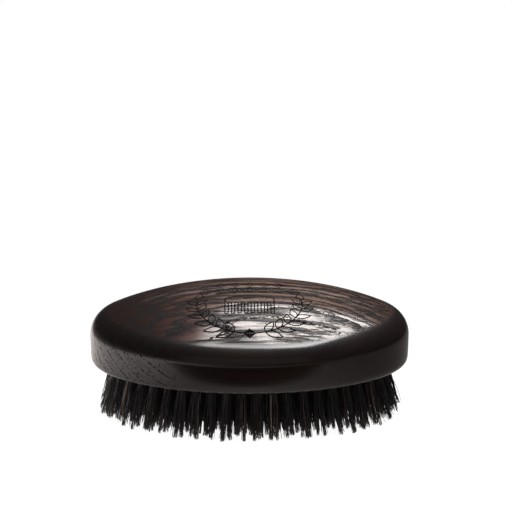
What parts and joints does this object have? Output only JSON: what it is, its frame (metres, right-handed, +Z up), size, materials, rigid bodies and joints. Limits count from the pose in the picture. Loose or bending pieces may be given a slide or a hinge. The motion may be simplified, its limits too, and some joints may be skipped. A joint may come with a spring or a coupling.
{
  "type": "beard brush",
  "caption": "Oval palm-held beard brush: one-piece domed hardwood block with concentric rings of dark bristle tufts, each folded over a flat wire anchor in a blind hole.",
  "frame": {"origin": "centre of the oval in the plane of the trimmed bristle tips, where the brush stands", "axes": "+Z up from the bristle tips to the crown of the block, +X along the block's length, +Y across its width"},
  "size_m": [0.11, 0.066, 0.046],
  "materials": {
    "hardwood": "satin",
    "bristle": "satin",
    "anchor_wire": "satin"
  },
  "bodies": {
    "root": {"wooden_block": "hardwood", "tufts_ring1_front": "bristle", "tufts_ring1_back": "bristle", "tufts_ring2_front": "bristle", "tufts_ring2_back": "bristle", "tufts_ring3_front": "bristle", "tufts_ring3_back": "bristle", "tufts_ring4_front": "bristle", "tufts_ring4_back": "bristle", "tufts_ring5_front": "bristle", "tufts_ring5_back": "bristle", "tufts_centre_row": "bristle", "anchors_ring1_front": "anchor_wire", "anchors_ring1_back": "anchor_wire", "anchors_ring2_front": "anchor_wire", "anchors_ring2_back": "anchor_wire", "anchors_ring3_front": "anchor_wire", "anchors_ring3_back": "anchor_wire", "anchors_ring4_front": "anchor_wire", "anchors_ring4_back": "anchor_wire", "anchors_ring5_front": "anchor_wire", "anchors_ring5_back": "anchor_wire", "anchors_centre_row": "anchor_wire"}
  },
  "joints": []
}
